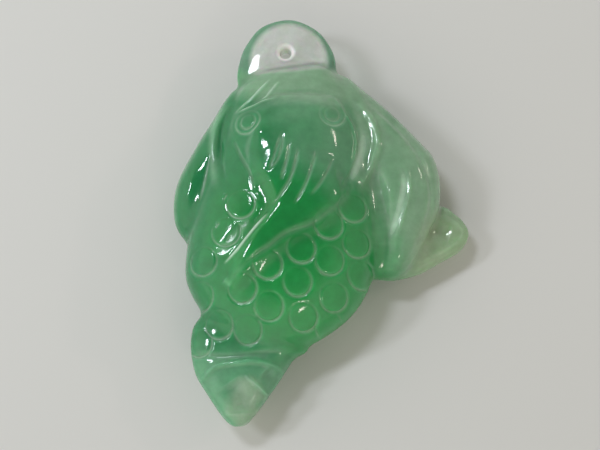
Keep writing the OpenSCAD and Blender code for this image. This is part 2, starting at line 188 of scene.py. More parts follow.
HOLE_LIP = 0.6        # millimetres of rounding round the cord hole's mouths
SEAT_LIP = 0.5        # millimetres of rounding round the resting face


def box_mm(node):
    """The corners of a CAD node in millimetres."""
    low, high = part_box(node)
    return np.array(low) / MM, np.array(high) / MM


def smooth_path(points, steps, closed):
    """Points along a smooth curve through the given points."""
    p = np.array(points, float)
    n = len(p)
    spans = n if closed else n - 1
    out = []
    for i in range(spans):
        if closed:
            a, b, c, d = p[i - 1], p[i], p[(i + 1) % n], p[(i + 2) % n]
        else:
            a, b, c, d = p[max(i - 1, 0)], p[i], p[i + 1], p[min(i + 2, n - 1)]
        for t in np.arange(steps) / steps:
            out.append((2 * b + (c - a) * t + (2 * a - 5 * b + 4 * c - d) * t ** 2
                        + (3 * b - a - 3 * c + d) * t ** 3) / 2)
    if not closed:
        out.append(p[-1])
    return np.array(out)


class Grid:
    """A block of points round the stone, a cell apart, in millimetres."""

    def __init__(self, low, high, cell):
        margin = 4 * cell
        self.cell = cell
        self.start = np.array(low) - margin
        counts = np.ceil((np.array(high) + margin - self.start) / cell).astype(int) + 1
        self.x, self.y, self.z = (self.start[k] + cell * np.arange(counts[k]) for k in range(3))


class Pebble:
    """A rounded form: a smooth outline drawn in to a peak above and a low point below."""

    def __init__(self, rim, low, high, waist, rise, drop, peak=(0, 0), fullness=2.2, slope=(0, 0)):
        self.low = np.array(low[:2])
        self.high = np.array(high[:2])
        self.middle = (self.low + self.high) / 2
        half = (self.high - self.low) / 2
        curve = smooth_path(rim, RIM_STEPS, closed=True)
        span = curve.max(0) - curve.min(0)
        curve = (curve - curve.min(0)) / span * 2 - 1
        self.peak = self.middle + half * peak
        self.rim = self.middle + half * curve
        self.waist, self.rise, self.drop = waist, rise, drop
        self.fullness, self.slope = fullness, slope

    def distance(self, grid):
        """About how far each grid point is outside the form; inside it is negative."""
        spokes = self.rim - self.peak
        angle = np.arctan2(spokes[:, 1], spokes[:, 0])
        order = np.argsort(angle)
        reach = np.linalg.norm(spokes, axis=1)[order]
        dx = grid.x[:, None] - self.peak[0]
        dy = grid.y[None, :] - self.peak[1]
        edge = np.interp(np.arctan2(dy, dx), angle[order], reach, period=2 * np.pi)
        part = np.hypot(dx, dy) / edge
        lean = (self.slope[0] * (grid.x[:, None] - self.middle[0])
                + self.slope[1] * (grid.y[None, :] - self.middle[1]))
        up = grid.z[None, None, :] - self.waist - lean[:, :, None]
        up = np.where(up > 0, up / self.rise, -up / self.drop)
        n = self.fullness
        level = (part[:, :, None] ** n + up ** n) ** (1 / n)
        steep = np.sqrt(sum(g ** 2 for g in np.gradient(level, grid.cell)))
        return ((level - 1) / np.maximum(steep, LEAST_STEEP)).astype(np.float32)


def blend(a, b, soft):
    """The union of two distance fields, with a fillet about as wide as soft."""
    h = np.clip(0.5 + 0.5 * (b - a) / soft, 0, 1)
    return b * (1 - h) + a * h - soft * h * (1 - h)


def net(field, grid):
    """A closed mesh of quads through a distance field's zero level."""
    solid = field < 0
    shape = np.array(field.shape)
    total = np.zeros((3, field.size))
    count = np.zeros(field.size)
    quads = []
    for axis in range(3):
        first = tuple(slice(0, -1) if k == axis else slice(None) for k in range(3))
        second = tuple(slice(1, None) if k == axis else slice(None) for k in range(3))
        crossed = solid[first] != solid[second]
        at = np.argwhere(crossed)
        a, b = field[first][crossed], field[second][crossed]
        point = at.astype(float)
        point[:, axis] += a / (a - b)
        ring = []
        for du, dv in ((-1, -1), (0, -1), (0, 0), (-1, 0)):
            cell = at.copy()
            cell[:, (axis + 1) % 3] += du
            cell[:, (axis + 2) % 3] += dv
            index = np.ravel_multi_index(cell.T, shape)
            ring.append(index)
            count += np.bincount(index, minlength=field.size)
            for k in range(3):
                total[k] += np.bincount(index, weights=point[:, k], minlength=field.size)
        quad = np.stack(ring, 1)
        quad[a > 0] = quad[a > 0, ::-1]
        quads.append(quad)
    used = np.flatnonzero(count)
    verts = (total[:, used] / count[used]).T * grid.cell + grid.start
    renumber = np.zeros(field.size, int)
    renumber[used] = np.arange(len(used))
    return verts, renumber[np.concatenate(quads)]


def new_mesh(name, verts, loops, sizes):
    """A smooth mesh object: all its faces' corners in one row, and how many each face has."""
    mesh = bpy.data.meshes.new(name)
    mesh.vertices.add(len(verts))
    mesh.vertices.foreach_set("co", (verts * MM).astype(np.float32).ravel())
    mesh.loops.add(len(loops))
    mesh.loops.foreach_set("vertex_index", loops.astype(np.int32))
    mesh.polygons.add(len(sizes))
    mesh.polygons.foreach_set("loop_start", (np.cumsum(sizes) - sizes).astype(np.int32))
    mesh.polygons.foreach_set("loop_total", sizes.astype(np.int32))
    mesh.update(calc_edges=True)
    mesh.shade_smooth()
    obj = bpy.data.objects.new(name, mesh)
    bpy.context.collection.objects.link(obj)
    return obj


def trunk_middle(s):
    """The middle of the trunk's outline, in millimetres."""
    low, high = box_mm("trunk")
    return np.array([(low[0] + high[0]) / 2, low[1] + s.trunk_length / MM / 2])


def along(path, points):
    """How far the points are from a path, and how far along it the nearest place is, from 0 to 1."""
    best = np.full(len(points), np.inf)
    place = np.zeros(len(points))
    steps = np.linalg.norm(np.diff(path, axis=0), axis=1)
    gone = np.concatenate([[0], np.cumsum(steps)])
    for a, b, start, step in zip(path[:-1], path[1:], gone, steps):
        t = np.clip((points - a) @ (b - a) / step ** 2, 0, 1)
        far = np.linalg.norm(points - a - t[:, None] * (b - a), axis=1)
        nearer = far < best
        best[nearer] = far[nearer]
        place[nearer] = ((start + t * step) / gone[-1])[nearer]
    return best, place


def near(points, centre, radius):
    """Which points lie in the square of this half width round the centre."""
    return np.flatnonzero(np.abs(points - centre).max(1) < radius)


def relief(points, s):
    """The tool marks at these places: height over the plain face, how unpolished with the painted
    highlights of some marks, and 1 near a mark.
    """
    height, ground, marked = np.zeros((3, len(points)))
    for _, width, rise, frost_and_light_share, corners in STROKES:
        path = smooth_path(corners, MARK_STEPS, closed=False)
        centre = (path.max(0) + path.min(0)) / 2
        reach = (path.max(0) - path.min(0)).max() / 2 + MARK_REACH * width
        touched = near(points, centre, reach)
        far, place = along(path, points[touched])
        ends = np.clip(np.minimum(place, 1 - place) / RUN_OUT, 0, 1) ** RUN_OUT_CURVE
        shape = np.exp(-(far / width) ** 2) * (END_SHARE + (1 - END_SHARE) * ends)
        height[touched] += rise * shape
        ground[touched] = np.maximum(ground[touched], frost_and_light_share * shape)
        marked[touched] = np.maximum(marked[touched], far < MARK_EDGE * width)
    width = s.ring_width / MM
    for centres, radius, depth in ((SCALES, s.scale_radius / MM, s.scale_depth / MM),
                                   (EYES, s.eye_radius / MM, s.eye_depth / MM),
                                   (EYES, s.socket_radius / MM, s.socket_depth / MM)):
        for centre in centres:
            touched = near(points, np.array(centre), radius + RING_MARGIN)
            spoke = points[touched] - centre
            far = np.linalg.norm(spoke, axis=1) - radius
            turn = np.arctan2(spoke[:, 1], spoke[:, 0]) - s.ring_heavy_side
            shape = (1 - RING_SWING + RING_SWING * np.cos(turn)) * np.exp(-(far / width) ** 2)
            height[touched] -= depth * shape
            # Paler and rougher on the deep side: unpolished, and painted glints
            ground[touched] = np.maximum(ground[touched], RING_FROST_AND_GLINT * shape ** RING_FROST_AND_GLINT_CURVE)
            marked[touched] = np.maximum(marked[touched], np.abs(far) < MARK_EDGE * width)
    return height, ground, marked


def settle(verts, field, grid):
    """Draw mesh points onto the distance field's zero level."""
    for _ in range(2):
        at = (verts - grid.start) / grid.cell
        low = np.floor(at).astype(int)
        f = (at - low).T
        value = np.zeros(len(verts))
        slope = np.zeros((3, len(verts)))
        for corner in np.ndindex(2, 2, 2):
            sample = field[tuple((low + corner).T)]
            share = [f[k] if corner[k] else 1 - f[k] for k in range(3)]
            value += sample * share[0] * share[1] * share[2]
            for k in range(3):
                rest = share[(k + 1) % 3] * share[(k + 2) % 3]
                slope[k] += sample * rest * (1 if corner[k] else -1)
        verts = verts - (value * slope / (slope ** 2).sum(0)).T * grid.cell
    return verts


def refine(verts, quads, chosen):
    """Cut each chosen quad in four; its neighbours take the new points on their edges."""
    ends = np.sort(np.stack([quads, np.roll(quads, -1, 1)], 2), 2).reshape(-1, 2)
    edges, edge = np.unique(ends, axis=0, return_inverse=True)
    edge = edge.reshape(-1, 4)
    cut = np.zeros(len(edges), bool)
    cut[edge[chosen].ravel()] = True
    mid = np.full(len(edges), -1)
    mid[cut] = len(verts) + np.arange(cut.sum())
    centre = len(verts) + cut.sum() + np.arange(chosen.sum())
    verts = np.concatenate([verts, verts[edges[cut]].mean(1), verts[quads[chosen]].mean(1)])
    m = mid[edge[chosen]]
    q = quads[chosen]
    small = [np.stack([q[:, k], m[:, k], centre, m[:, k - 1]], 1) for k in range(4)]
    rest = np.stack([quads[~chosen], mid[edge[~chosen]]], 2).reshape(-1, 8)
    used = rest >= 0
    loops = np.concatenate([np.concatenate(small).ravel(), rest[used]])
    return verts, loops, np.concatenate([np.full(4 * len(q), 4), used.sum(1)])


def engrave(stone, s):
    """Move the stone's points along their normals by the height of the tool marks."""
    mesh = stone.data
    count = len(mesh.vertices)
    verts = np.empty(count * 3, np.float32)
    normals = np.empty(count * 3, np.float32)
    mesh.vertices.foreach_get("co", verts)
    mesh.vertex_normals.foreach_get("vector", normals)
    verts, normals = verts.reshape(-1, 3), normals.reshape(-1, 3)
    upward = np.clip((normals[:, 2] - UPWARD_FROM) / UPWARD_SPAN, 0, 1)
    height, ground, _ = relief(verts[:, :2] / MM - trunk_middle(s), s)
    verts += normals * (height * upward)[:, None] * MM
    mesh.vertices.foreach_set("co", verts.ravel())
    # Paleness and roughness of the unpolished marks, with the painted highlights and glints of some marks
    unpolished = mesh.attributes.new("ground", "FLOAT", "POINT")
    unpolished.data.foreach_set("value", (ground * upward).astype(np.float32))
    mesh.update()


class StoneSettings(PropertyGroup):
    """Sizes of the carved stone."""

    trunk_length: FloatProperty(name="Trunk length", unit="LENGTH", default=27.2 * MM,
                                description="Length of the scaled trunk under the collar")
    tab_length: FloatProperty(name="Tab length", unit="LENGTH", default=10 * MM,
                              description="Length of the hanging tab with its root")
    tail_length: FloatProperty(name="Tail length", unit="LENGTH", default=11.6 * MM,
                               description="Length of the tail with its root")
    right_fin_width: FloatProperty(name="Right fin width", unit="LENGTH", default=12 * MM,
                                   description="Width of the right fin with its root")
    right_fin_length: FloatProperty(name="Right fin length", unit="LENGTH", default=22.2 * MM,
                                    description="Length of the right fin")
    left_fin_width: FloatProperty(name="Left fin width", unit="LENGTH", default=9.4 * MM,
                                  description="Width of the left fin with its root")
    pelvic_width: FloatProperty(name="Pelvic fin width", unit="LENGTH", default=11.7 * MM,
                                description="Width of the pelvic fin with its root")
    hole_diameter: FloatProperty(name="Cord hole", unit="LENGTH", default=1.2 * MM,
                                 description="Diameter of the cord hole")
    hole_inset: FloatProperty(name="Hole inset", unit="LENGTH", default=4 * MM,
                              description="From the tab's front edge to the hole's middle")
    hole_shift: FloatProperty(name="Hole shift", unit="LENGTH", default=-0.1 * MM,
                              description="From the tab's middle to the hole's middle")
    scale_radius: FloatProperty(name="Scale ring", unit="LENGTH", default=1.45 * MM,
                                description="Radius of a drilled scale ring")
    scale_depth: FloatProperty(name="Scale depth", unit="LENGTH", default=0.19 * MM,
                               description="Depth of a scale ring's groove")
    eye_radius: FloatProperty(name="Eye ring", unit="LENGTH", default=0.8 * MM,
                              description="Radius of the ring drilled round an eye")
    eye_depth: FloatProperty(name="Eye depth", unit="LENGTH", default=0.2 * MM,
                             description="Depth of an eye's ring")
    socket_radius: FloatProperty(name="Eye socket", unit="LENGTH", default=1.35 * MM,
                                 description="Radius of the outer ring round an eye")
    socket_depth: FloatProperty(name="Socket depth", unit="LENGTH", default=0.1 * MM,
                                description="Depth of the outer ring round an eye")
    ring_width: FloatProperty(name="Ring width", unit="LENGTH", default=0.14 * MM,
                              description="Half width of a drilled groove")
    ring_heavy_side: FloatProperty(name="Deeper side", subtype="ANGLE", default=math.radians(-70),
                                   description="Where a ring is deepest, round from the right")
    cell: FloatProperty(name="Mesh cell", unit="LENGTH", default=0.2 * MM,
                        description="Distance between the stone's mesh points")


def cord_hole(s):
    """The middle of the cord hole, in millimetres."""
    low, high = box_mm("hanging_tab")
    return (low[0] + high[0]) / 2 + s.hole_shift / MM, high[1] - s.hole_inset / MM


def carved_field(grid, s):
    """The whole stone as a distance field, region by region."""
    trunk_low, trunk_high = box_mm("trunk")
    trunk_high[1] = trunk_low[1] + s.trunk_length / MM
    head_low, head_high = box_mm("head")
    collar_low, collar_high = box_mm("collar")
    tab_low, tab_high = box_mm("hanging_tab")
    tab_level = (tab_low[2] + tab_high[2]) / 2
    tab_half = (tab_high[2] - tab_low[2]) / 2
    tab_low[1] = tab_high[1] - s.tab_length / MM
    right_low, right_high = box_mm("right_pectoral_fin")
    right_low[0] = right_high[0] - s.right_fin_width / MM
    right_high[1] = right_low[1] + s.right_fin_length / MM
    left_low, left_high = box_mm("left_pectoral_fin")
    left_high[0] = left_low[0] + s.left_fin_width / MM
    pelvic_low, pelvic_high = box_mm("right_pelvic_fin")
    pelvic_low[0] = pelvic_high[0] - s.pelvic_width / MM
    dorsal_low, dorsal_high = box_mm("dorsal_fin")
    tail_low, tail_high = box_mm("tail_root")
    tail_low[1] = box_mm("tail_fin")[0][1]
    tail_high[1] = tail_low[1] + s.tail_length / MM

    # The forms that join the trunk in turn, each with the width of its fillet
    forms = [
        (Pebble(COLLAR_RIM, collar_low, collar_high, waist=4.6, rise=4.8, drop=3.8, fullness=2.4), 1.6),
        (Pebble(HEAD_RIM, head_low, head_high, waist=5, rise=6.4, drop=3.4, peak=(-0.12, 0.25),
                fullness=2.4), 1.0),
        (Pebble(RIGHT_FIN_RIM, right_low, right_high, waist=3.8, rise=4.4, drop=2.9, peak=(0.15, 0)), 1.0),
        (Pebble(LEFT_FIN_RIM, left_low, left_high, waist=3.7, rise=3.6, drop=2.6, peak=(-0.2, -0.1)), 0.8),
        (Pebble(PELVIC_RIM, pelvic_low, pelvic_high, waist=2.6, rise=1.7, drop=1.8), 0.8),
        (Pebble(TAIL_RIM, tail_low, tail_high, waist=3.6, rise=2.9, drop=2.6, peak=(0, 0.3),
                fullness=2.4), 1.2),
        (Pebble(TAB_RIM, tab_low, tab_high, waist=tab_level, rise=tab_half, drop=tab_half,
                fullness=3), 0.6),
        (Pebble(DORSAL_RIM, dorsal_low, dorsal_high, waist=9, rise=2.9, drop=3, peak=(-0.05, 0.05),
                fullness=2.6, slope=(0, 0.03)), 0.8),
    ]
    trunk = Pebble(TRUNK_RIM, trunk_low, trunk_high, waist=4, rise=7, drop=4.8, peak=(0, 0.05))
    field = trunk.distance(grid)
    for form, fillet in forms:
        field = blend(field, form.distance(grid), fillet)
    hole_x, hole_y = cord_hole(s)
    hole = np.hypot(grid.x[:, None] - hole_x, grid.y[None, :] - hole_y) - s.hole_diameter / MM / 2
    bored = blend(-field, hole[:, :, None], HOLE_LIP)
    level = grid.z[None, None, :]
    return -blend(bored, level, SEAT_LIP)


class PENDANT_OT_stone(Operator):
    """Carve the stone: all its regions in one closed mesh"""

    bl_idname = "pendant.stone"
    bl_label = "Carved stone"

    def execute(self, context):
        s = context.scene.pendant_stone
        low, high = (np.array(c) / MM for c in CAD_BOX)
        grid = Grid(low, high, s.cell / MM)
        field = carved_field(grid, s)
        verts, quads = net(field, grid)
        centres = verts[quads].mean(1)
        across, down = (verts[quads[:, k + 2]] - verts[quads[:, k]] for k in (0, 1))
        upper = np.cross(across, down)[:, 2] > 0
        marked = relief(centres[:, :2] - trunk_middle(s), s)[2] > 0
        verts, loops, sizes = refine(verts, quads, marked & upper)
        stone = new_mesh("carved_stone", settle(verts, field, grid), loops, sizes)
        engrave(stone, s)
        stone.data.materials.append(jade())
        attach(stone, "root")
        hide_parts(*NODES)
        return {"FINISHED"}


class Shader:
    """A material's node tree, with short ways to add nodes."""

    def __init__(self, name):
        self.material = bpy.data.materials.new(name)
        self.material.use_nodes = True
        self.tree = self.material.node_tree
        self.surface = self.tree.nodes["Principled BSDF"]
        self.output = self.tree.nodes["Material Output"]

    def put(self, value, socket):
        """Link an output to the socket, or set the socket to a plain value."""
        if isinstance(value, bpy.types.NodeSocket):
            self.tree.links.new(value, socket)
        else:
            socket.default_value = value

    def add(self, kind, *values, out=None, **settings):
        """A node with its first inputs set or linked in order; gives the named output, or the first."""
        node = self.tree.nodes.new("ShaderNode" + kind)
        for key, value in settings.items():
            setattr(node, key, value)
        for value, socket in zip(values, (i for i in node.inputs if i.enabled)):
            if value is not None:
                self.put(value, socket)
        return node.outputs[out] if out else next(o for o in node.outputs if o.enabled)

    def math(self, operation, a, b=0.0):
        return self.add("Math", a, b, operation=operation)

    def noise(self, vector, scale, detail, rough):
        return self.add("TexNoise", vector, scale, detail, rough)

    def fade(self, value, start, end):
        """1 where the value is under start, falling smoothly to 0 at end."""
        return self.add("MapRange", value, start, end, 1.0, 0.0, interpolation_type="SMOOTHSTEP")

    def cloud(self, place, centre, half, soft):
        """1 inside an egg-shaped zone, falling to 0 across its soft skin."""
        spoke = self.add("VectorMath", place, centre, operation="SUBTRACT")
        spoke = self.add("VectorMath", spoke, half, operation="DIVIDE")
        reach = self.add("VectorMath", spoke, operation="LENGTH")
        return self.fade(reach, 1 - soft, 1 + soft)

    def bump(self, height, strength, distance):
        """Small unevenness of the surface, in place of geometry too fine to mesh."""
        node = self.tree.nodes.new("ShaderNodeBump")
        node.inputs["Strength"].default_value = strength
        node.inputs["Distance"].default_value = distance
        self.put(height, node.inputs["Height"])
        return node.outputs[0]

    def let_lamps_through(self, colour, share):
        """Let this share of a lamp's light go on through the stone, tinted."""
        tint = self.mix(share, (0, 0, 0, 1), colour)
        lit = self.add("BsdfTransparent", tint)
        path = self.tree.nodes.new("ShaderNodeLightPath")
        both = self.tree.nodes.new("ShaderNodeMixShader")
        self.put(path.outputs["Is Shadow Ray"], both.inputs[0])
        self.put(self.surface.outputs[0], both.inputs[1])
        self.put(lit, both.inputs[2])
        self.put(both.outputs[0], self.output.inputs["Surface"])

    def mix(self, factor, a, b):
        """A colour between a and b."""
        return self.add("Mix", factor, a, b, data_type="RGBA")

    def blend(self, factor, a, b):
        """A number between a and b."""
        return self.add("Mix", factor, a, b, data_type="FLOAT")


class JadeSettings(PropertyGroup):
    """Colours and finish of the jade."""

    green: FloatVectorProperty(name="Green", description="The stone's general colour",
                               subtype="COLOR", size=4, default=(0.019, 0.238, 0.083, 1))
    # Partly painted light: the trunk's green made brighter than its own colour to lift the shade on its
    # lower right side
    vivid_and_lit: FloatVectorProperty(name="Vivid green", description="The scaled trunk",
                               subtype="COLOR", size=4, default=(0.022, 0.34, 0.085, 1))
    deep: FloatVectorProperty(name="Deep green", description="The darkest patch, behind the head",
                              subtype="COLOR", size=4, default=(0.015, 0.27, 0.066, 1))
    grey: FloatVectorProperty(name="Grey green", description="The head's dull side",
                              subtype="COLOR", size=4, default=(0.115, 0.34, 0.175, 1))
    pale: FloatVectorProperty(name="Pale green", description="The collar and the right fin",
                              subtype="COLOR", size=4, default=(0.25, 0.435, 0.275, 1))
    straw: FloatVectorProperty(name="Straw green", description="The pelvic fin",
                               subtype="COLOR", size=4, default=(0.38, 0.52, 0.33, 1))
    light: FloatVectorProperty(name="Light green", description="The tail",
                               subtype="COLOR", size=4, default=(0.16, 0.42, 0.24, 1))
    haze: FloatVectorProperty(name="Haze", description="The thin pale patch of the tail",
                              subtype="COLOR", size=4, default=(0.32, 0.48, 0.33, 1))
    clear: FloatVectorProperty(name="Clear stone", description="The almost colourless tab",
                               subtype="COLOR", size=4, default=(0.92, 0.95, 0.90, 1))
    edge: FloatVectorProperty(name="Tab edge", description="The clear stone seen through its edge",
                              subtype="COLOR", size=4, default=(0.17, 0.36, 0.24, 1))
    # Near white and opaque: the ground wall's paleness with painted light, in place of the bright floor
    # seen through the hole
    lit_bore: FloatVectorProperty(name="Bore", description="The ground wall of the cord hole",
                              subtype="COLOR", size=4, default=(0.88, 0.85, 0.83, 1))
    # Paler colour of the unpolished marks, also used for painted light: highlights on some marks and the
    # glow of the thin edges
    frost_and_edge_light: FloatVectorProperty(name="Ground stone", description="The unpolished tool marks and thin edges",
                               subtype="COLOR", size=4, default=(0.55, 0.74, 0.58, 1))
    clearness: FloatProperty(name="Tab clearness", description="How much of the tab is seen through",
                             default=0.68, subtype="FACTOR")
    edge_clearness: FloatProperty(name="Edge clearness", description="How much of its edge is seen through",
                                  default=0.2, subtype="FACTOR")
    # How strong the painted light on the slanting edges is
    edge_glow_share: FloatProperty(name="Thin edges", description="How pale the thin edges are",
                              default=0.4, subtype="FACTOR")
    ground_share: FloatProperty(name="Ground paleness", description="How pale the unpolished marks are",
                                default=0.45, subtype="FACTOR")
    roughness: FloatProperty(name="Roughness", description="Roughness of the polish",
                             default=0.07, subtype="FACTOR")
    frost: FloatProperty(name="Ground roughness", description="Roughness of the unpolished tool marks",
                         default=0.38, subtype="FACTOR")
    ior: FloatProperty(name="Refraction", description="Jade's index of refraction", default=1.62)
    scatter: FloatProperty(name="Scatter depth", description="How far light spreads under the polish",
                           default=2.5 * MM, unit="LENGTH")
    glow: FloatProperty(name="Lamp light let through",
                        description="Share of a lamp's light that passes the stone",
                        default=0.35, subtype="FACTOR")
    dent_depth: FloatProperty(name="Dent depth", description="Depth of the polish's faint unevenness",
                              default=0.05 * MM, unit="LENGTH")


# Cloudy zones of the stone, in the order they are laid over each other:
# (colour, middle from the middle of the trunk, half sizes, softness, clearness)
ZONES = [
    # The vivid zone is partly painted light: brighter to lift the trunk's shaded lower right side
    ("vivid_and_lit", (2.5, -5.0, 6), (9.0, 9.5, 9), 0.4, 0.0),
    ("deep", (-0.5, -1.0, 10), (6.0, 4.5, 6), 0.6, 0.0),
    ("grey", (4.0, 8.5, 9), (5.0, 5.5, 6), 0.5, 0.0),
    ("pale", (9.3, 9.0, 8), (2.0, 6.0, 5), 0.5, 0.0),
    ("pale", (3.0, 14.8, 6), (8.0, 3.6, 8), 0.3, 0.0),
    ("pale", (14.5, 3.5, 4), (6.0, 9.5, 8), 0.35, 0.0),
    ("straw", (18.0, -3.0, 3), (4.5, 4.5, 5), 0.4, 0.15),
    ("light", (-4.5, -18.2, 4), (7.0, 5.2, 6), 0.4, 0.1),
    ("haze", (-4.0, -18.6, 4), (1.8, 2.4, 6), 0.3, 0.1),
]

# The clear tab, and the part of it inside its green edge: (middle, half sizes, softness)
TAB_ZONE = ((0.3, 20.0, 4.5), (9.0, 4.3, 8.0), 0.12)
TAB_CORE = ((0.55, 17.4, 4.5), (4.1, 4.3, 40.0), 0.1)
# The cord hole's wall, painted near white as if lit: level, half sizes, softness
BORE_LEVEL = 4.5
BORE_HALF = (0.95, 0.95, 60.0)
BORE_SOFT = 0.2
DRIFT = 4.0  # millimetres that the zones' edges wander

# Noises of the stone: (scale for each millimetre, detail, roughness)
DRIFT_NOISE = (0.22, 3.0, 0.55)
CLOUD_NOISE = (0.9, 4.0, 0.6)
SMEAR_NOISE = (3.0, 3.0, 0.5)
DENT_NOISE = (1.6, 2.0, 0.5)
GRIT_NOISE = (9.0, 2.0, 0.5)
CLOUD_SHADE = (0.3, 0.75, 0.9, 1.12)  # two levels of the noise, and the shade of the colour at each
SMEAR_LEVELS = (0.35, 0.7)            # two levels of the noise
SMEAR_SHARES = (0.6, 1.5)             # and the share of the roughness at each
GRIT_HEIGHT = 1.2                     # height of the grit in the unpolished marks, in dents
DENT_STRENGTH = 0.3
EDGE_GLOW_SLANT = (0.1, 0.75)  # upright parts of the normal between which the painted glow of the edges fades out
EDGE_GLOW_FROM = (-3.0, 4.0)   # places along the stone, in millimetres, between which they fade in
SCATTER_TINT = (0.55, 1.0, 0.65)  # shares of the scatter depth that red, green and blue reach


def jade():
    """Cloudy translucent jade: colour and clearness drift from zone to zone under one polish, with painted
    light on the edges, in the cord hole and along some marks.
    """
    s = bpy.context.scene.pendant_jade
    stone = bpy.context.scene.pendant_stone
    middle = trunk_middle(stone)
    shader = Shader("jade")
    place = shader.add("TexCoord", out="Object")
    mm = shader.add("VectorMath", place, (1 / MM,) * 3, operation="MULTIPLY")
    mm = shader.add("VectorMath", mm, (middle[0], middle[1], 0.0), operation="SUBTRACT")
    drift = shader.add("TexNoise", mm, *DRIFT_NOISE, out="Color")
    drift = shader.add("VectorMath", drift, (0.5,) * 3, operation="SUBTRACT")
    drift = shader.add("VectorMath", drift, (DRIFT,) * 3, operation="MULTIPLY")
    warped = shader.add("VectorMath", mm, drift, operation="ADD")
    colour = s.green[:]
    clearness = 0.0
    for tint, centre, half, soft, clear in ZONES:
        cover = shader.cloud(warped, centre, half, soft)
        colour = shader.mix(cover, colour, getattr(s, tint)[:])
        clearness = shader.blend(cover, clearness, clear)

    # Painted light: steep faces in the front of the stone are paled, standing in for light showing through
    # the thin edges
    normal = shader.add("TexCoord", out="Normal")
    facing = shader.math("ABSOLUTE", shader.add("SeparateXYZ", normal, out="Z"))
    along_stone = shader.add("SeparateXYZ", mm, out="Y")
    forward = shader.math("SUBTRACT", 1.0, shader.fade(along_stone, *EDGE_GLOW_FROM))
    thin = shader.math("MULTIPLY", shader.fade(facing, *EDGE_GLOW_SLANT), forward)
    colour = shader.mix(shader.math("MULTIPLY", thin, s.edge_glow_share), colour, s.frost_and_edge_light[:])

    tab = shader.cloud(mm, *TAB_ZONE)
    rim = shader.math("SUBTRACT", 1.0, shader.cloud(mm, *TAB_CORE))
    colour = shader.mix(tab, colour, shader.mix(rim, s.clear[:], s.edge[:]))
    clearness = shader.blend(tab, clearness, shader.blend(rim, s.clearness, s.edge_clearness))
    # Painted light: the cord hole's wall turns near white and opaque, in place of the bright floor seen
    # through it
    hole_x, hole_y = cord_hole(stone)
    bore_at = (hole_x - middle[0], hole_y - middle[1], BORE_LEVEL)
    lit_bore = shader.cloud(mm, bore_at, BORE_HALF, BORE_SOFT)
    colour = shader.mix(lit_bore, colour, s.lit_bore[:])
    clearness = shader.blend(lit_bore, clearness, 0.0)

    # Unpolished marks turn pale and rough; on some marks this paleness is a painted highlight or glint
    ground = shader.add("Attribute", attribute_name="ground", out="Fac")
    colour = shader.mix(shader.math("MULTIPLY", ground, s.ground_share), colour, s.frost_and_edge_light[:])
    cloud = shader.add("MapRange", shader.noise(mm, *CLOUD_NOISE), *CLOUD_SHADE)
    colour = shader.add("VectorMath", colour, cloud, operation="MULTIPLY")
    shader.put(colour, shader.surface.inputs["Base Color"])
    shader.put(clearness, shader.surface.inputs["Transmission Weight"])

    polish = [s.roughness * share for share in SMEAR_SHARES]
    smear = shader.add("MapRange", shader.noise(mm, *SMEAR_NOISE), *SMEAR_LEVELS, *polish)
    shader.put(shader.blend(ground, smear, s.frost), shader.surface.inputs["Roughness"])
    shader.put(s.ior, shader.surface.inputs["IOR"])
    shader.put(1.0, shader.surface.inputs["Subsurface Weight"])
    shader.put(s.scatter, shader.surface.inputs["Subsurface Scale"])
    shader.put(SCATTER_TINT, shader.surface.inputs["Subsurface Radius"])
    dents = shader.noise(mm, *DENT_NOISE)
    grit = shader.math("MULTIPLY", shader.noise(mm, *GRIT_NOISE), ground)
    dents = shader.add("Math", grit, GRIT_HEIGHT, dents, operation="MULTIPLY_ADD")
    shader.put(shader.bump(dents, DENT_STRENGTH, s.dent_depth), shader.surface.inputs["Normal"])
    shader.let_lamps_through(colour, shader.blend(clearness, s.glow, 1.0))
    return shader.material


def floor_cloth(s):
    """A pale matt floor."""
    shader = Shader("floor")
    shader.put(s.floor_colour[:], shader.surface.inputs["Base Color"])
    shader.put(0.85, shader.surface.inputs["Roughness"])
    shader.put(0.1, shader.surface.inputs["Specular IOR Level"])
    return shader.material


# Lamps: (name, angle round from the right, height above the horizon, roll, distance, width, depth, watts,
# colour), in degrees and millimetres
LAMPS = [
    ("window", 134, 60, -30, 300, 62, 32, 0.22, (0.86, 0.92, 1.0)),
    ("side_window", 172, 45, -36, 300, 60, 26, 0.17, (0.86, 0.92, 1.0)),
    ("lamp", 20, 31, 0, 300, 44, 14, 0.04, (1.0, 0.84, 0.76)),
    ("low_lamp", -66, 38, 0, 300, 36, 10, 0.025, (1.0, 0.92, 0.8)),
]


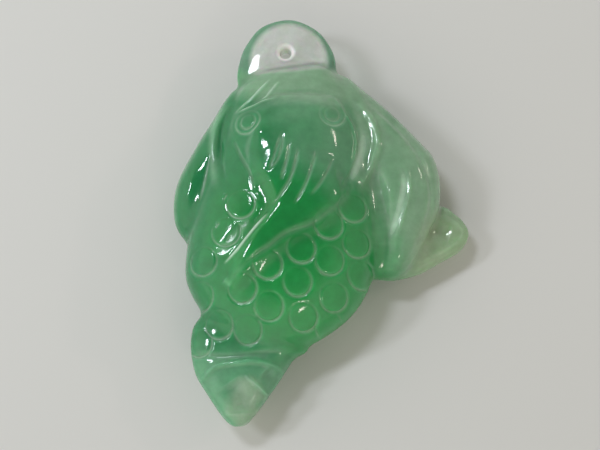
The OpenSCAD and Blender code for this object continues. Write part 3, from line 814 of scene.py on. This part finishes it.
class StageSettings(PropertyGroup):
    """The floor, the camera and the lights."""

    floor_colour: FloatVectorProperty(name="Floor", description="Colour of the floor",
                                      subtype="COLOR", size=4, default=(0.72, 0.71, 0.69, 1))
    floor_size: FloatProperty(name="Floor size", description="Side of the square floor",
                              default=0.6, unit="LENGTH")
    room: FloatProperty(name="Room light", description="Brightness of the light from the sides",
                        default=0.72)
    overhead: FloatProperty(name="Overhead light", description="Brightness of the light from above",
                            default=0.1)
    overhead_edge: FloatVectorProperty(name="Overhead edge", size=2, default=(0.6, 0.95),
                                       description="Heights, as shares of straight up, where the light "
                                                   "from above begins and is whole")
    brighter_side: FloatVectorProperty(name="Brighter side", size=3, default=(-0.3, -0.3, 0),
                                       description="Which way the room light is stronger", subtype="XYZ")
    room_colour: FloatVectorProperty(name="Room colour", description="Colour of the light from all round",
                                     subtype="COLOR", default=(1.0, 0.985, 0.89))
    camera_height: FloatProperty(name="Camera elevation", description="Camera angle above the horizon",
                                 default=math.radians(80), subtype="ANGLE")
    camera_distance: FloatProperty(name="Camera distance", description="From the camera to the stone",
                                   default=133 * MM, unit="LENGTH")
    lens: FloatProperty(name="Lens", description="Focal length on a 36 mm sensor, in millimetres",
                        default=75)
    aim: FloatVectorProperty(name="Camera aim", description="Point that the camera looks at", size=3,
                             default=(-2.3 * MM, -0.65 * MM, 4 * MM), subtype="TRANSLATION",
                             unit="LENGTH")


def room_light(s):
    """Light from all round, dim straight overhead."""
    world = bpy.data.worlds.new("room")
    world.use_nodes = True
    tree = world.node_tree
    place = tree.nodes.new("ShaderNodeTexCoord")
    parts = tree.nodes.new("ShaderNodeSeparateXYZ")
    level = tree.nodes.new("ShaderNodeMapRange")
    level.interpolation_type = "SMOOTHSTEP"
    for socket, value in zip(level.inputs[1:5], (*s.overhead_edge, s.room, s.overhead)):
        socket.default_value = value
    tree.links.new(place.outputs["Generated"], parts.inputs[0])
    tree.links.new(parts.outputs["Z"], level.inputs[0])
    lean = tree.nodes.new("ShaderNodeVectorMath")
    lean.operation = "DOT_PRODUCT"
    lean.inputs[1].default_value = s.brighter_side
    tree.links.new(place.outputs["Generated"], lean.inputs[0])
    strength = tree.nodes.new("ShaderNodeMath")
    strength.operation = "MULTIPLY_ADD"
    tree.links.new(lean.outputs["Value"], strength.inputs[0])
    tree.links.new(level.outputs[0], strength.inputs[1])
    tree.links.new(level.outputs[0], strength.inputs[2])
    tree.links.new(strength.outputs[0], tree.nodes["Background"].inputs["Strength"])
    tree.nodes["Background"].inputs["Color"].default_value = (*s.room_colour, 1)
    return world


class PENDANT_OT_stage(Operator):
    """Lay the floor, and set up the camera and the lights"""

    bl_idname = "pendant.stage"
    bl_label = "Stage"

    def execute(self, context):
        s = context.scene.pendant_stage
        half = s.floor_size / 2
        mesh = bpy.data.meshes.new("floor")
        corners = [(-half, -half, 0), (half, -half, 0), (half, half, 0), (-half, half, 0)]
        mesh.from_pydata(corners, [], [(0, 1, 2, 3)])
        floor = bpy.data.objects.new("floor", mesh)
        context.collection.objects.link(floor)
        floor.data.materials.append(floor_cloth(s))
        context.scene.world = room_light(s)
        context.scene.view_settings.view_transform = "Standard"
        for name, turn, height, roll, distance, width, depth, watts, colour in LAMPS:
            turn, height = math.radians(turn), math.radians(height)
            spot = Vector((math.cos(turn) * math.cos(height), math.sin(turn) * math.cos(height),
                           math.sin(height)))
            light = bpy.data.lights.new(name, "AREA")
            light.shape = "RECTANGLE"
            light.size, light.size_y = width * MM, depth * MM
            light.energy = watts
            light.color = colour
            lamp = bpy.data.objects.new(name, light)
            lamp.location = spot * distance * MM
            aim = (-spot).to_track_quat("-Z", "Y") @ Quaternion((0, 0, 1), math.radians(roll))
            lamp.rotation_euler = aim.to_euler()
            context.collection.objects.link(lamp)
        camera = bpy.data.objects.new("camera", bpy.data.cameras.new("camera"))
        camera.data.lens = s.lens
        camera.data.sensor_width = 36
        back = Vector((0, -math.cos(s.camera_height), math.sin(s.camera_height)))
        camera.location = Vector(s.aim) + back * s.camera_distance
        camera.rotation_euler = (-back).to_track_quat("-Z", "Y").to_euler()
        camera.data.clip_start = 0.01
        context.collection.objects.link(camera)
        context.scene.camera = camera
        return {"FINISHED"}


class PENDANT_PT_panel(Panel):
    """The buttons that make the pendant"""

    bl_idname = "PENDANT_PT_panel"
    bl_label = "Jade pendant"
    bl_space_type = "VIEW_3D"
    bl_region_type = "UI"
    bl_category = "Pendant"

    def draw(self, context):
        for operator in (PENDANT_OT_stone, PENDANT_OT_stage):
            self.layout.operator(operator.bl_idname)


CLASSES = (StoneSettings, JadeSettings, StageSettings, PENDANT_OT_stone, PENDANT_OT_stage, PENDANT_PT_panel)


def register():
    for cls in CLASSES:
        bpy.utils.register_class(cls)
    bpy.types.Scene.pendant_stone = PointerProperty(type=StoneSettings)
    bpy.types.Scene.pendant_jade = PointerProperty(type=JadeSettings)
    bpy.types.Scene.pendant_stage = PointerProperty(type=StageSettings)


def unregister():
    del bpy.types.Scene.pendant_stage
    del bpy.types.Scene.pendant_jade
    del bpy.types.Scene.pendant_stone
    for cls in reversed(CLASSES):
        bpy.utils.unregister_class(cls)


def main():
    """Make everything."""
    register()
    bpy.ops.pendant.stone()
    bpy.ops.pendant.stage()


if __name__ == "__main__":
    main()
